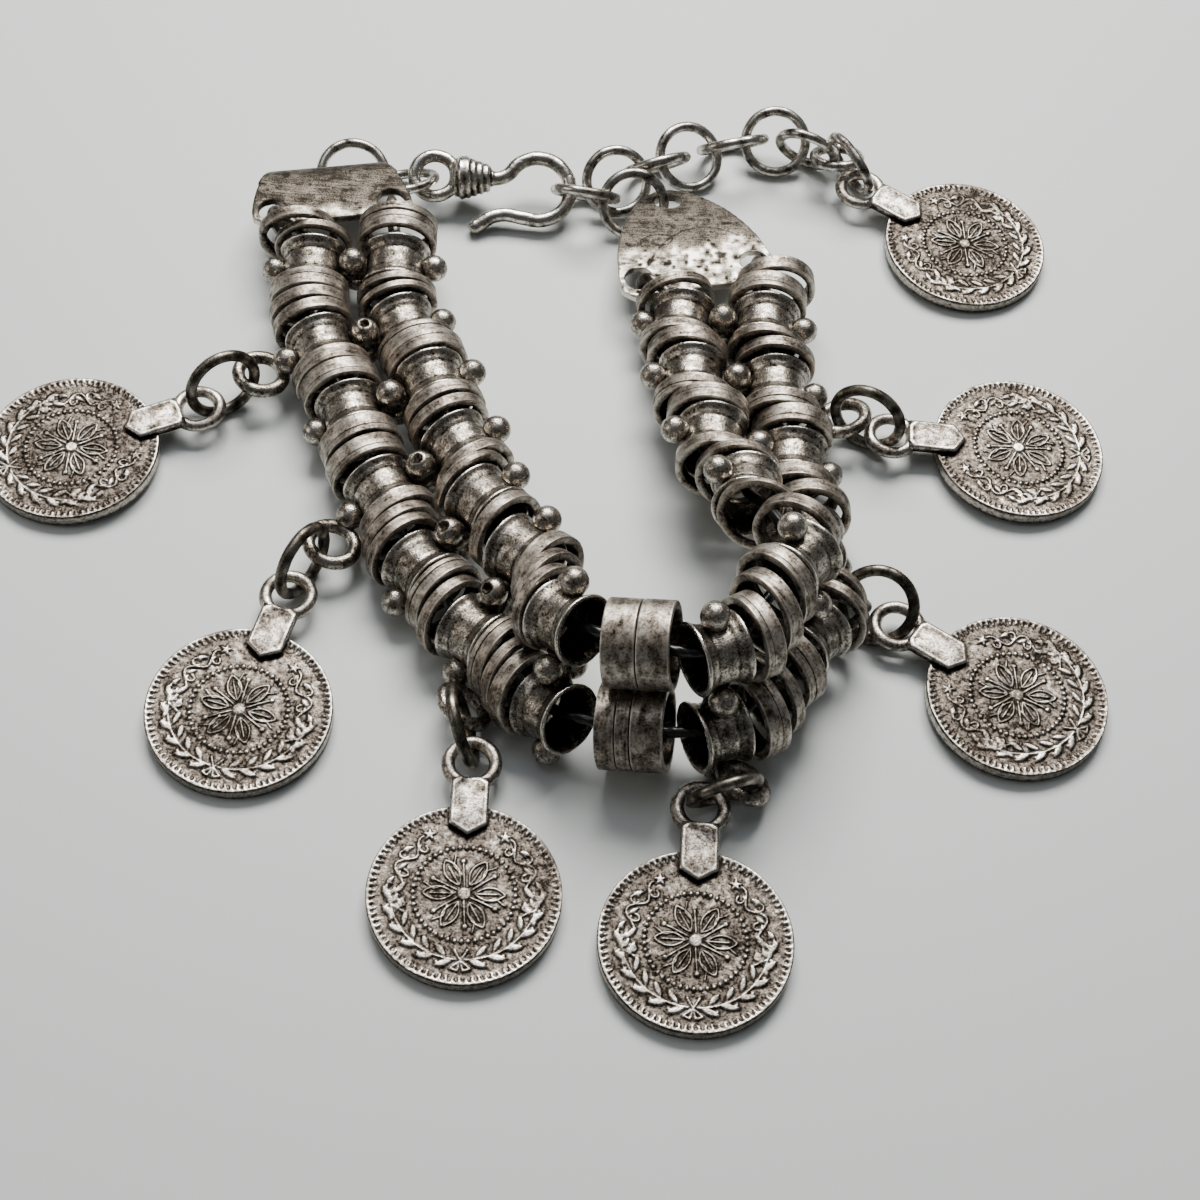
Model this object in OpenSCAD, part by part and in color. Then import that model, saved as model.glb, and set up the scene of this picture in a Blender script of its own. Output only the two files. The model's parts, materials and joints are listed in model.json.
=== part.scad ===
// Coin bracelet: two strands of loose tube rings, tied side by side by double spool spacers,
// closed with two end plates, a hook and a chain, and hung with seven coins.
// It lies on a flat surface, fastened, with the open loop facing up. Millimetres, Z up.

/* [Band] */
// Distance between the axes of the two strands
strand_pitch = 9; // [8.9:0.1:9.6]
// Length of one spool along the strand
spool_length = 4.8; // [4.6:0.1:5.4]
// Outside diameter of a spool at its waist
waist_d = 6; // [5.6:0.1:6.1]
// Outside diameter of a spool at its flared mouths
mouth_d = 7.2; // [6.8:0.1:7.4]
// Sheet thickness of a spool
spool_wall = 0.5; // [0.4:0.05:0.7]
// Diameter of the solid balls
ball_d = 2.9; // [2.8:0.1:3]
// Distance from a strand axis to the ball on its free side
ball_reach = 4.1; // [4:0.05:4.15]
// Height of the ball in the valley between two spools
valley_rise = 1.6; // [1.4:0.1:1.8]

/* [Rings] */
// Outside diameter of the loose tube rings
ring_d = 8.5; // [8:0.1:8.5]
// Wall thickness of the loose tube rings
ring_wall = 0.8; // [0.6:0.05:0.9]
// Thickness of the cord inside each strand
thread_d = 1.2; // [0.8:0.1:1.4]

/* [Coins] */
// Diameter of a coin
coin_d = 18; // [17:0.25:18.5]
// Thickness of a coin without its relief
coin_thickness = 1.3; // [1.1:0.1:1.5]
// Height of the struck relief
relief = 0.18; // [0.1:0.02:0.3]
// Mean radius of the ring on a coin
bail_radius = 2.25; // [2.2:0.05:2.35]
// Wire thickness of the ring on a coin
bail_wire = 1.3; // [1.1:0.05:1.35]
// Distance from the coin centre to the centre of its ring
bail_distance = 13.6; // [13.4:0.1:13.8]
// Width of the pointed tab
tab_width = 3.6; // [3:0.1:4]

/* [Coin links] */
// Wire thickness of the jump rings that carry the coins
jump_wire = 1.2; // [1:0.05:1.25]
// Wire thickness of the loops on the spacers
loop_wire = 1.4; // [1.1:0.05:1.4]

/* [End plates] */
// Sheet thickness of the end plates
plate_thickness = 1; // [0.8:0.1:1.1]
// Half width of an end plate at its broadest
plate_half_width = 8.8; // [8.2:0.1:9]
// Distance from the middle of an end plate to each of its strand holes
hole_offset = 6.5; // [6.2:0.1:6.7]
// Diameter of the holes in the end plates
hole_d = 3; // [2.8:0.1:3.2]

/* [Clasp] */
// Wire thickness of the chain links
chain_wire = 1.15; // [0.9:0.05:1.2]
// Wire thickness of the hook
hook_wire = 1.6; // [1.3:0.1:1.7]
// Radius of the bend of the hook
hook_bend = 3.6; // [3.4:0.1:3.7]

/* [Hidden] */
fa_curve = 48;
// The layout below is measured from one corner; this moves the middle of the part to the origin.
middle = [6.5, -10.2, 0];
ring_r = ring_d / 2;
metal = [0.62, 0.59, 0.55];
dark_metal = [0.42, 0.4, 0.37];

// Spacers: x and y of the outer strand's axis, heading, roll of the inner strand upward, pitch.
SPACERS = [
  [-34, 36.8, -86, 5, -10],
  [-31.2, 25.5, -65, 0, 0],
  [-27, 17, -68, 14, 0],
  [-22.5, 7.5, -56, 14, 0],
  [-17.5, -1.5, -47, 24, 10],
  [-11.5, -8.5, -38, 32, 12],
  [-3.5, -16.5, -40, 60, 22],
  [12, -17.5, 28, 68, -5],
  [20.5, -6, 58, 68, -10],
  [20.5, 6, 92, 40, -18],
  [18.5, 16, 90, 18, 0],
  [16.5, 25.5, 92, 6, 0],
  [15, 33.2, 88, -6, 0]
];

// Widths of the loose rings in each gap between two spacers; a negative width is an empty place.
OUTER_RINGS = [
  [2.2, 1.4, 1.4], [2.2, 2.6], [2.6, 2.4], [1.8, 1.4, 1.4], [2.2, 1.4], [2.2, 1.3, 2],
  [1.8, 1.2, 3], [2.4, 1, 2.6], [1.5, 1.1, -2.4], [2, 2.2], [2.2, 1.9], [2.8, 1.9]
];
INNER_RINGS = [
  [1.4, 1.2], [2, 2], [1.6, 1.4], [1.4, 1], [1.2], [2.2, 1.6, 1.4],
  [3.1, 3], [2.6, 2.2, 2.4], [2.8, 1], [1.4, 2], [1.9, 1.9], [2.2, 1.5]
];

// Rings between the last spools and the end plates: x, y, z, heading, pitch, width.
OUTER_END_RINGS = [
  [-34.3, 40, 4.5, 95.5, 3.8, 0.7], [-36.15, 40.95, 5.2, 100.4, 5, 1.1],
  [15.1, 36.9, 5.2, 88, 0, 2], [15.9, 39.3, 5.3, 95, 0, 1.6]
];
INNER_END_RINGS = [
  [-25.3, 40.9, 5.7, 94, 6, 1.8], [-25.4, 42.4, 6, 94, 6, 0.8],
  [5.2, 36.9, 4.35, 106, 0, 1]
];

// Coins: x and y of the centre, heading from the centre to the coin's ring.
COINS = [
  [-55.5, 12, 27],
  [-33.5, -17.5, 78],
  [-10, -35, 93],
  [11.4, -37.65, 91],
  [41.5, -8, 151],
  [42.5, 23, 181],
  [37.25, 51.75, 151]
];

// Loops on the even spacers: spacer number, x, y, z, heading, roll, pitch, mean radius.
LOOPS = [
  [2, -37.5, 22.6, 3.2, 35, 2, -9, 2.35],
  [4, -27.2, 1.9, 2.8, 67, 10, -9, 2.35],
  [6, -12.1, -15.4, 2.3, 97, 32, -20, 2.35],
  [8, 15, -21.2, 2.5, 112, 30, -13, 2.2],
  [10, 24.1, 0.9, 2.8, -22, -59, 4, 2.35],
  [12, 23.8, 24.1, 2.7, 3, -13, 16, 2.35]
];

// Jump rings of coins 1 to 6: x, y, z, heading, roll, pitch, mean radius.
JUMPS = [
  [-41, 20, 4.2, 37, 83, 8, 3.6],
  [-29.6, -1.4, 4.2, 63, 88, 16, 3.6],
  [-11.9, -18.7, 4.1, 107, 75, 8, 3.6],
  [13.2, -23, 3.9, 28, -71, -12, 3.3],
  [27.5, -0.1, 3.45, 147, -48, 22, 3.6],
  [26.2, 23.2, 4.2, 158, -84, 1, 3.6]
];

// Links of the clasp and chain: x, y, z, heading, roll, pitch, mean half length, mean half width.
LINKS = [
  ["ring_left", -31.9, 53.4, 2.4, 4, 26, -5, 3.6, 3.6],
  ["link_left", -26.25, 52.5, 2.65, -1.1, -27.8, 15.6, 3.7, 3.3],
  ["link_hook", -5.6, 52.5, 3.4, -1, -50, -5, 3.45, 3.45],
  ["ring_right", -0.2, 51.85, 3.15, 14, 47, 3, 3.45, 3.45],
  ["chain_link_1", -2.3, 55, 3.3, 19, 42, 0, 3.45, 3.45],
  ["chain_link_2", 2, 58, 3.4, 28, -53, -4, 3.45, 3.45],
  ["chain_link_3", 5.6, 60.2, 2.9, 30, 38, 0, 3.45, 3.45],
  ["chain_link_4", 10.5, 62.6, 3.1, 20, -49, 0, 3.7, 3.3],
  ["chain_link_5", 15.4, 63.8, 3, 7, 41, 5, 3.45, 3.45],
  ["chain_link_6", 19, 62.3, 3.7, -20, -71, 5, 3.3, 3.2],
  ["chain_link_7", 22.5, 62.1, 3.05, -18, -18, 10, 2.6, 2.5],
  ["coin_link_7", 24, 60.4, 3.8, -50, -75, -16, 3.6, 3]
];

// End plates: x, y, z between the strand holes, heading to the apex, then for the right plate the
// bend radius, and for the left plate the reach of the flat part, the bend radius and the tip length.
PLATE_RIGHT = [7.3, 41.2, 4.5, 108, 45];
PLATE_LEFT = [-33, 45, 5.6, 104, 4, 3.5, 2.55];

// Bend centre of the hook, heading, roll, pitch.
HOOK = [-11, 52.85, 3.1, 3, 27, 0];

// Directions of a pose [x, y, z, heading, roll, pitch]: along it, across it and out of it.
function along(p) = [cos(p[3]) * cos(p[5]), sin(p[3]) * cos(p[5]), sin(p[5])];
function across(p) = cos(p[4]) * [-sin(p[3]), cos(p[3]), 0]
  + sin(p[4]) * [-cos(p[3]) * sin(p[5]), -sin(p[3]) * sin(p[5]), cos(p[5])];
function at(p) = [p[0], p[1], p[2]];

// Height of the outer strand's axis where the band rests on a ring or on the outer ball.
function axis_height(s) = max(
  ring_r + 0.05,
  ball_reach * sin(s[3]) * cos(s[4]) + ball_d / 2 + 0.05,
  ring_r + 0.05 - strand_pitch * sin(s[3]) * cos(s[4])
);
function spacer_pose(k) = let (s = SPACERS[k]) [s[0], s[1], axis_height(s), s[2], s[3], s[4]];
function strand_point(k, side) = at(spacer_pose(k)) + across(spacer_pose(k)) * strand_pitch * side;

// Ribbon between two neighbouring spacers: a point at the share s of the gap, on one strand.
function blend(u, v, s) = let (w = u * (1 - s) + v * s) w / norm(w);
function bow(a, ta, b, tb, s) = let (l = norm(b - a) * 0.9)
  (2 * s ^ 3 - 3 * s ^ 2 + 1) * a + (s ^ 3 - 2 * s ^ 2 + s) * l * ta
  + (3 * s ^ 2 - 2 * s ^ 3) * b + (s ^ 3 - s ^ 2) * l * tb;
function ribbon(g, side, s) = let (
  pa = spacer_pose(g - 1),
  pb = spacer_pose(g),
  a = strand_point(g - 1, 0.5) + along(pa) * spool_length / 2,
  b = strand_point(g, 0.5) - along(pb) * spool_length / 2
) bow(a, along(pa), b, along(pb), s)
  + blend(across(pa), across(pb), s) * strand_pitch * (side - 0.5) * (1 + 0.16 * s * (1 - s));
function total(v, n) = n <= 0 ? 0 : abs(v[n - 1]) + total(v, n - 1);
// A ring that would dip into the surface rests on it.
function rested(c, d, w) = [c[0], c[1], max(
  c[2], 0.05 + ring_r * sqrt(1 - d[2] ^ 2) + w / 2 * abs(d[2])
)];

// At the sharp front bend the rings lie flat against each other and the open mouths take the turn.
FLAT_GAP = 7;
function flat_rings(g, side, widths) = let (
  d = blend(along(spacer_pose(g - 1)), along(spacer_pose(g)), 0.5),
  chord = (ribbon(g, side, 0) + ribbon(g, side, 1)) / 2,
  between = chord - (ribbon(g, side, 0.5) - chord) * 0.25 + 0.28 * d,
  n = len(widths),
  start = -(total(widths, n) + 0.2 * (n - 1)) / 2
) [for (i = [0:n - 1]) let (c = between + (start + total(widths, i) + widths[i] / 2 + 0.2 * i) * d)
  [rested(c, d, widths[i]), d, widths[i]]];

// One entry per loose ring: centre, direction, width. Each ring turns by an equal share of the
// bend between its spacers; where the gap is short, all its rings are narrower by one factor.
function gap_rings(g, side, widths) = let (
  ta = along(spacer_pose(g - 1)),
  tb = along(spacer_pose(g)),
  a = ribbon(g, side, 0),
  b = ribbon(g, side, 1),
  n = len(widths),
  turn = acos(min(1, ta * tb)) / (n + 1),
  l = (b - a) * blend(ta, tb, 0.5),
  at_mouth = 0.26 + mouth_d * tan(turn / 2),
  at_ring = 0.2 + ring_d * tan(turn / 2),
  room = l - 2 * at_mouth - (n - 1) * at_ring,
  fit = min(1, room / total(widths, n)),
  slack = (room - fit * total(widths, n)) / 2
) [for (i = [0:n - 1]) if (widths[i] > 0) let (
  share = (slack + at_mouth + fit * (total(widths, i) + widths[i] / 2) + i * at_ring) / l,
  d = blend(ta, tb, (i + 1) / (n + 1)),
  w = fit * widths[i]
) [rested(ribbon(g, side, share), d, w), d, w]];
function reversed(v) = [for (i = [len(v) - 1:-1:0]) v[i]];
function strand_rings(side) = concat(
  [for (g = [1:12]) let (widths = side == 0 ? OUTER_RINGS[g - 1] : INNER_RINGS[g - 1])
    each g == FLAT_GAP ? flat_rings(g, side, widths) : gap_rings(g, side, widths)],
  [for (r = side == 0 ? OUTER_END_RINGS : INNER_END_RINGS)
    [[r[0], r[1], r[2]], along([0, 0, 0, r[3], 0, r[4]]), r[5]]]
);

// Places a child at a pose, with X along, Y across and Z out of it.
module posed(p) {
  translate([p[0], p[1], p[2]]) rotate([p[4], -p[5], p[3]]) children();
}

// Lays a child that stands on Z along a direction.
module facing(c, d) {
  translate(c) rotate([0, acos(d[2]), atan2(d[1], d[0])]) children();
}

module wire_ring(radius, wire) {
  rotate_extrude($fn = fa_curve) translate([radius, 0]) circle(d = wire, $fn = 24);
}

// Closed link with straight sides, length along X.
module long_link(a, b, wire) {
  for (e = [-1, 1]) {
    translate([e * (a - b), 0, 0]) rotate([0, 0, e * 90 - 180])
      rotate_extrude(angle = 180, $fn = fa_curve) translate([b, 0]) circle(d = wire, $fn = 24);
    translate([-(a - b) - 0.1, e * b, 0]) rotate([0, 90, 0])
      cylinder(d = wire * 0.98, h = 2 * (a - b) + 0.2, $fn = 24);
  }
}

module rod(a, b, d) {
  facing(a, (b - a) / norm(b - a)) cylinder(d = d, h = norm(b - a), $fn = 24);
}

// Spool along X: a sheet tube drawn in at the waist, open at both mouths.
module spool() {
  e = spool_length / 2;
  w = waist_d / 2;
  m = mouth_d / 2;
  rotate([0, 90, 0]) rotate_extrude($fn = fa_curve) polygon([
    [w, -0.9], [w, 0.9], [w + 0.2, 1.5], [m - 0.25, e - 0.55], [m, e - 0.3], [m, e],
    [m - spool_wall, e], [m - spool_wall - 0.25, e - 0.5], [w - spool_wall + 0.2, 1.5],
    [w - spool_wall, 0.9], [w - spool_wall, -0.9],
    [w - spool_wall + 0.2, -1.5], [m - spool_wall - 0.25, 0.5 - e], [m - spool_wall, -e],
    [m, -e], [m, 0.3 - e], [m - 0.25, 0.55 - e], [w + 0.2, -1.5]
  ]);
}

module spacer_body() {
  spool();
  translate([0, strand_pitch, 0]) spool();
  // Short saddle soldered between the two waists.
  difference() {
    rotate([-90, 0, 0]) cylinder(d = 2.4, h = strand_pitch, $fn = 24);
    for (y = [0, strand_pitch]) translate([-3, y, 0]) rotate([0, 90, 0])
      cylinder(d = waist_d - spool_wall, h = 6, $fn = fa_curve);
  }
  for (y = [-ball_reach, strand_pitch + ball_reach]) translate([0, y, 0]) sphere(d = ball_d, $fn = 32);
  for (z = [-valley_rise, valley_rise]) translate([0, strand_pitch / 2, z]) sphere(d = ball_d, $fn = 32);
}

module spacer(k) {
  p = spacer_pose(k);
  ball = at(p) - across(p) * ball_reach;
  color(metal) {
    posed(p) spacer_body();
    for (l = LOOPS) if (l[0] == k + 1) {
      q = [l[1], l[2], l[3], l[4], l[5], l[6]];
      posed(q) wire_ring(l[7], loop_wire);
      // Solder between the ball and the nearest point of the loop.
      u = (ball - at(q)) * along(q);
      v = (ball - at(q)) * across(q);
      near = at(q) + (along(q) * u + across(q) * v) * l[7] / sqrt(u * u + v * v);
      if (norm(near - ball) > (ball_d + loop_wire) / 2 - 0.4) rod(ball, near, 1.2);
    }
  }
}

module tube_ring(r) {
  facing(r[0], r[1]) translate([0, 0, -r[2] / 2]) difference() {
    cylinder(r = ring_r, h = r[2], $fn = fa_curve);
    translate([0, 0, -1]) cylinder(r = ring_r - ring_wall, h = r[2] + 2, $fn = fa_curve);
  }
}

module rings(side) {
  color(metal) for (r = strand_rings(side)) tube_ring(r);
}

// Cord through a strand, from an eye round the end loop at the left plate to one at the right plate.
// Between two spacers it is drawn tight, so it cuts the bend of the strand.
tightness = 0.6;
eye_r = 1.45;
function eye(c, u) = let (v = [-u[1], u[0], 0]) [
  for (a = [235:20:435]) c + eye_r * (cos(a) * u + sin(a) * v)
];
// Where the inner strand jogs sideways, the cord turns round the rim of the spool: gap, side, points.
JOG = [9, 1, [
  [17.95, -0.45, 12.75], [17.75, 0.9, 12.35], [16.8, 1.65, 12.1],
  [16.7, 2.8, 11.95], [16, 4.05, 11.55], [15.45, 5.45, 10.95]
]];
function drawn(g, side, s) = let (
  a = strand_point(g - 1, side),
  b = strand_point(g, side),
  u = (b - a) / norm(b - a),
  p = ribbon(g, side, s)
) p + tightness * (a + ((p - a) * u) * u - p);
function flat_unit(d) = [d[0], d[1], 0] / norm([d[0], d[1], 0]);
function cord_path(side) = let (
  t0 = along(spacer_pose(0)),
  t12 = along(spacer_pose(12)),
  c0 = END_LOOPS[side][0],
  c12 = END_LOOPS[2 + side][0]
) concat(
  reversed(eye(c0, flat_unit(-t0))),
  [for (g = [1:12]) each concat(
    [strand_point(g - 1, side)],
    g == JOG[0] && side == JOG[1] ? JOG[2] : [for (s = [0:0.25:1]) drawn(g, side, s)]
  )],
  [strand_point(12, side)],
  eye(c12, flat_unit(t12))
);
function path_dir(p, i) = let (
  d = p[min(i + 1, len(p) - 1)] - p[max(i - 1, 0)]
) d / norm(d);

module cord(p) {
  n = len(p);
  m = 8;
  pts = [for (i = [0:n - 1]) let (
    d = path_dir(p, i),
    e = cross(d, [0, 0, 1]) / norm(cross(d, [0, 0, 1])),
    f = cross(e, d)
  ) for (j = [0:m - 1]) p[i] + thread_d / 2 * (cos(360 * j / m) * e + sin(360 * j / m) * f)];
  faces = concat(
    [[for (j = [0:m - 1]) j]],
    [for (i = [0:n - 2], j = [0:m - 1])
      [i * m + j, (i + 1) * m + j, (i + 1) * m + (j + 1) % m, i * m + (j + 1) % m]],
    [[for (j = [m - 1:-1:0]) (n - 1) * m + j]]
  );
  color([0.06, 0.06, 0.06]) polyhedron(pts, faces, convexity = 10);
}

// End loops: closed wire links through a strand hole of a plate and into the strand's end.
// Each entry: the far end inside the strand, then the far end at the plate.
END_LOOPS = [
  [[-34.05, 39, 4.55], [-39.25, 43, 5.75]],
  [[-25.2, 39.1, 5.4], [-26.6, 46.1, 5.6]],
  [[15.2, 35.2, 5.2], [13.7, 42.9, 4.5]],
  [[5.5, 35.55, 4.3], [1.45, 39, 4.5]]
];

module end_loop(i) {
  a = END_LOOPS[i][0];
  b = END_LOOPS[i][1];
  d = b - a;
  m = (a + b) / 2;
  color(dark_metal) posed([m[0], m[1], m[2], atan2(d[1], d[0]), 90, asin(d[2] / norm(d))])
    long_link(norm(d) / 2, 1.6, 1.2);
}

// Rounded shield outline: half width at a distance from the strand holes.
function plate_width(x) = x < -1
  ? plate_half_width - 0.5 * (-1 - x) ^ 2
  : plate_half_width * max(0, 1 - ((x + 1) / 15.5) ^ 1.6) ^ 0.6;
function outline(xs) = concat(
  [for (x = xs) [x, plate_width(x)]],
  [for (x = reversed(xs)) [x, -plate_width(x)]]
);
function widths_at(xs, near, stretch, shift) = concat(
  [for (s = xs) [s - shift, plate_width((s - near) * stretch - 2.6)]],
  [for (s = reversed(xs)) [s - shift, -plate_width((s - near) * stretch - 2.6)]]
);

module hole(d, h) {
  translate([0, 0, -h]) cylinder(d = d, h = 2 * h, $fn = fa_curve);
}

// Right plate: bent in one long shallow curve.
module plate_right() {
  p = PLATE_RIGHT;
  r = p[4];
  xs = [for (i = [0:22]) -2.6 + 16.9 * (1 - (1 - i / 22) ^ 1.5)];
  color(metal) posed([p[0], p[1], p[2], p[3], 0, 0]) difference() {
    intersection() {
      translate([0, 0, -4]) linear_extrude(height = 6) polygon(outline(xs));
      translate([0, 12, -r]) rotate([90, 0, 0]) difference() {
        cylinder(r = r + plate_thickness / 2, h = 24, $fn = 96);
        translate([0, 0, -1]) cylinder(r = r - plate_thickness / 2, h = 26, $fn = 96);
      }
    }
    for (y = [-hole_offset, hole_offset]) translate([0, y, 0]) hole(hole_d, 3);
    translate([0, 0, -r]) rotate([0, 12 / r * 180 / PI, 0]) translate([0, 0, r]) hole(hole_d, 3);
  }
}

// Left plate: flat over the strand ends, bent down steeply, with a straight tip down to the surface.
module plate_left() {
  p = PLATE_LEFT;
  flat = p[4];
  r = p[5];
  tip = p[6];
  near = -2;
  steep = 80;
  arc = r * steep * PI / 180;
  // Stations along the sheet, measured from the strand holes.
  stretch = 16.6 / (flat - near + arc + tip);
  xs_flat = [for (i = [0:6]) near + (flat + 0.1 - near) * i / 6];
  xs_bend = [for (i = [0:12]) flat - 0.2 + (arc + 0.4) * i / 12];
  xs_tip = [for (i = [0:12]) flat + arc + tip * (1 - (1 - i / 12) ^ 1.5)];
  color(metal) posed([p[0], p[1], p[2], p[3], 0, 0]) difference() {
    union() {
      translate([0, 0, -plate_thickness / 2]) linear_extrude(height = plate_thickness)
        polygon(widths_at(xs_flat, near, stretch, 0));
      intersection() {
        translate([flat, 12, -r]) rotate([90, 0, 0]) difference() {
          cylinder(r = r + plate_thickness / 2, h = 24, $fn = 96);
          translate([0, 0, -1]) cylinder(r = r - plate_thickness / 2, h = 26, $fn = 96);
        }
        translate([flat, 0, -r]) rotate([0, steep / 2, 0]) linear_extrude(height = 6)
          polygon(concat(
            [for (s = xs_bend) [r * sin((s - flat) / r * 180 / PI - steep / 2),
              plate_width((s - near) * stretch - 2.6)]],
            [for (s = reversed(xs_bend)) [r * sin((s - flat) / r * 180 / PI - steep / 2),
              -plate_width((s - near) * stretch - 2.6)]]
          ));
      }
      translate([flat, 0, -r]) rotate([0, steep, 0]) translate([0, 0, r - plate_thickness / 2])
        linear_extrude(height = plate_thickness) polygon(widths_at(xs_tip, near, stretch, flat + arc));
    }
    for (y = [-hole_offset, hole_offset]) translate([0, y, 0]) hole(hole_d, 3);
    translate([flat, 0, -r]) rotate([0, steep, 0]) translate([tip - 2, 0, r]) hole(hole_d - 0.4, 2);
  }
}

// Almond shape of a struck leaf or petal, lying along X from the origin.
module leaf(l, w, h) {
  r = (l * l + w * w) / (4 * w);
  intersection() {
    translate([l / 2, r - w / 2, 0]) cylinder(r = r, h = h, $fn = fa_curve);
    translate([l / 2, w / 2 - r, 0]) cylinder(r = r, h = h, $fn = fa_curve);
  }
}

module band(r, w, h) {
  difference() {
    cylinder(r = r + w / 2, h = h, $fn = fa_curve);
    translate([0, 0, -1]) cylinder(r = r - w / 2, h = h + 2, $fn = fa_curve);
  }
}

// Struck face: raised rim, ring, six-petalled flower and an open wreath away from the tab.
module struck_face() {
  h = relief + 0.1;
  translate([0, 0, -0.1]) {
    band(coin_d / 2 - 0.35, 0.7, h);
    band(4.7, 0.35, h);
    for (a = [30:60:330]) rotate([0, 0, a]) translate([0.9, 0, 0]) leaf(2.9, 1.1, h);
    cylinder(r = 0.7, h = h, $fn = 24);
    for (e = [-1, 1], i = [0:5]) rotate([0, 0, 180 + e * (14 + i * 15)]) translate([6.4, 0, 0])
      rotate([0, 0, e * 52]) translate([-1.2, 0, 0]) leaf(2.4, 0.9, h);
  }
}

module coin(k) {
  c = COINS[k];
  tilt = 2.5;
  color(metal) posed([c[0], c[1], coin_d / 2 * sin(tilt), c[2], 0, tilt]) {
    difference() {
      union() {
        cylinder(d = coin_d, h = coin_thickness, $fn = 96);
        translate([0, 0, coin_thickness]) struck_face();
      }
      // The relief is flattened where the tab is soldered on.
      translate([coin_d / 2 - 3.8, -tab_width / 2 - 0.1, coin_thickness]) cube([5, tab_width + 0.2, 2]);
    }
    translate([bail_distance, 0, 1.1]) wire_ring(bail_radius, bail_wire);
    translate([0, 0, coin_thickness - 0.1]) linear_extrude(height = 0.8) polygon([
      [5.8, 0], [6.9, tab_width / 2], [bail_distance - 2.2, tab_width / 2],
      [bail_distance - 1.8, 0.9], [bail_distance - 1.8, -0.9],
      [bail_distance - 2.2, -tab_width / 2], [6.9, -tab_width / 2]
    ]);
  }
}

module jump_ring(k) {
  j = JUMPS[k];
  color(dark_metal) posed(j) wire_ring(j[6], jump_wire);
}

module link(l) {
  p = [l[1], l[2], l[3], l[4], l[5], l[6]];
  w = l[0] == "ring_left" || l[0] == "link_left" ? chain_wire - 0.05 : chain_wire;
  color(metal) posed(p) if (l[7] - l[8] < 0.05) wire_ring(l[7], w); else long_link(l[7], l[8], w);
}

// Part of a bend, cut 0.05 short at both ends; a slightly larger ball closes each joint.
module arc_wire(c, r, a0, a1, wire) {
  cut = 0.05 / r * 180 / PI;
  translate(c) rotate([0, 0, a0 + cut]) rotate_extrude(angle = a1 - a0 - 2 * cut, $fn = fa_curve)
    translate([r, 0]) circle(d = wire, $fn = 24);
}

module joint(c, wire) {
  translate([c[0], c[1], 0]) sphere(d = wire * 1.04, $fn = 32);
}

// Hook: an eye, a wrapped tapering neck, a round bend and a blunt tip that turns away.
module hook() {
  w = hook_wire;
  b = hook_bend;
  s = 2.6;
  top = [b * cos(145) - s * cos(325), b * sin(145) - s * sin(325)];
  low = [b * cos(260), b * sin(260)];
  knee = low + 2.3 * [cos(170), sin(170)];
  turn = knee + 3.5 * [-sin(170), cos(170)];
  end = turn + 3.5 * [cos(125), sin(125)];
  tip = end + 1.6 * [cos(215), sin(215)];
  neck = top[1] - s;
  color(metal) posed(HOOK) {
    translate([-11.6, neck, 0]) wire_ring(2.35, 1.45);
    translate([-9.6, neck, 0]) rotate([0, 90, 0]) cylinder(d1 = 3.4, d2 = 4.4, h = 1.2, $fn = 32);
    translate([-8.4, neck, 0]) rotate([0, 90, 0]) cylinder(d1 = 4.4, d2 = 2.6, h = 3, $fn = 32);
    translate([-6, neck, 0]) rotate([0, 90, 0]) cylinder(d = w, h = top[0] + 5.95, $fn = 24);
    joint([top[0], neck], w);
    arc_wire([top[0], top[1], 0], s, 270, 325, w);
    joint([b * cos(145), b * sin(145)], w);
    arc_wire([0, 0, 0], b, -100, 145, w);
    joint(low, w);
    rod(concat(low + 0.05 * [cos(170), sin(170)], 0), concat(knee - 0.05 * [cos(170), sin(170)], 0), w);
    joint(knee, w);
    arc_wire([turn[0], turn[1], 0], 3.5, 80, 125, w);
    joint(end, w);
    rod(concat(end + 0.05 * [cos(215), sin(215)], 0), concat(tip, 0), w);
    joint(tip, w);
  }
}

translate(middle) {
  plate_left();
  plate_right();
  for (i = [0:3]) end_loop(i);
  for (k = [0:12]) spacer(k);
  rings(0);  // rings_outer
  rings(1);  // rings_inner
  cord(cord_path(0));  // thread_outer
  cord(cord_path(1));  // thread_inner
  for (k = [0:6]) coin(k);
  for (k = [0:5]) jump_ring(k);
  hook();
  for (l = LINKS) link(l);
}
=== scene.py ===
import json
import math

import bmesh
import bpy
import numpy as np
from mathutils import Euler, Matrix, Vector

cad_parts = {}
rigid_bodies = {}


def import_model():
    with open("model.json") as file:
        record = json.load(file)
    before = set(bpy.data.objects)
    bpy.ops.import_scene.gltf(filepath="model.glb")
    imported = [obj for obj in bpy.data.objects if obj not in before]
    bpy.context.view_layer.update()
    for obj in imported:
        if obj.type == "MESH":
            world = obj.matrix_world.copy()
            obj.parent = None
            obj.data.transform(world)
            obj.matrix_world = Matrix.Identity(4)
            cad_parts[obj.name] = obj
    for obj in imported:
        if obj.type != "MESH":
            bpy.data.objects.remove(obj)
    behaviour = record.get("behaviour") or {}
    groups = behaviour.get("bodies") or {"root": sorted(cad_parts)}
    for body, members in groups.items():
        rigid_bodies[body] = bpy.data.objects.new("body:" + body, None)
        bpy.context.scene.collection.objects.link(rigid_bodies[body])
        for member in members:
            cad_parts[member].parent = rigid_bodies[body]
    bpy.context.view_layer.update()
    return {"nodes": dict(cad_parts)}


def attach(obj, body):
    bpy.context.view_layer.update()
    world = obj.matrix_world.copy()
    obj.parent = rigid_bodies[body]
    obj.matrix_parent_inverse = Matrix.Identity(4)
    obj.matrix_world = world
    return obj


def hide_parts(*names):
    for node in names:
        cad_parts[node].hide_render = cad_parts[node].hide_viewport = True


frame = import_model()

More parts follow.
